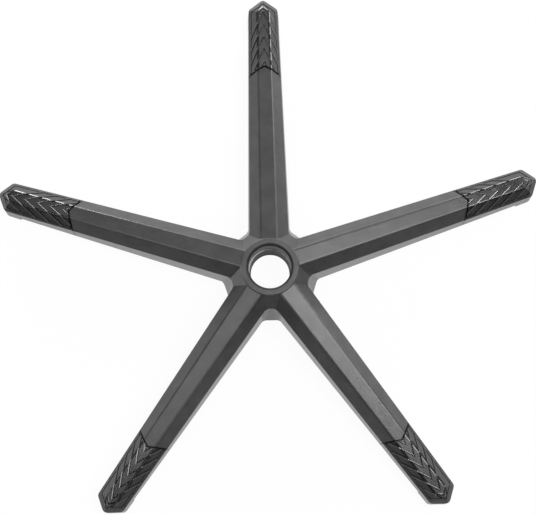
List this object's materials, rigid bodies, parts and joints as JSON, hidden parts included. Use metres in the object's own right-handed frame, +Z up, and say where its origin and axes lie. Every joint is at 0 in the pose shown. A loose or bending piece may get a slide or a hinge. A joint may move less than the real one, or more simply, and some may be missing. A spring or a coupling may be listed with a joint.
{
  "type": "gaming chair base",
  "caption": "Star-shaped moulded chair base with a tapered steel hub sleeve and glossy chevron toe caps; takes a gas lift and stem casters.",
  "frame": {"origin": "on the hub axis, in the plane of the caster socket mouths, which is also the plane that the bare base rests on", "axes": "+Z up along the hub axis; +Y along the first leg"},
  "size_m": [0.6696, 0.6375, 0.0747],
  "materials": {
    "body": "matte dark grey moulded nylon with a fine grain",
    "toe_cap": "glossy black moulded plastic",
    "hub_sleeve": "turned steel"
  },
  "bodies": {
    "root": {"base_spider": "body", "hub_sleeve": "hub_sleeve", "toe_cap_1": "toe_cap", "toe_cap_2": "toe_cap", "toe_cap_3": "toe_cap", "toe_cap_4": "toe_cap", "toe_cap_5": "toe_cap"}
  },
  "joints": []
}
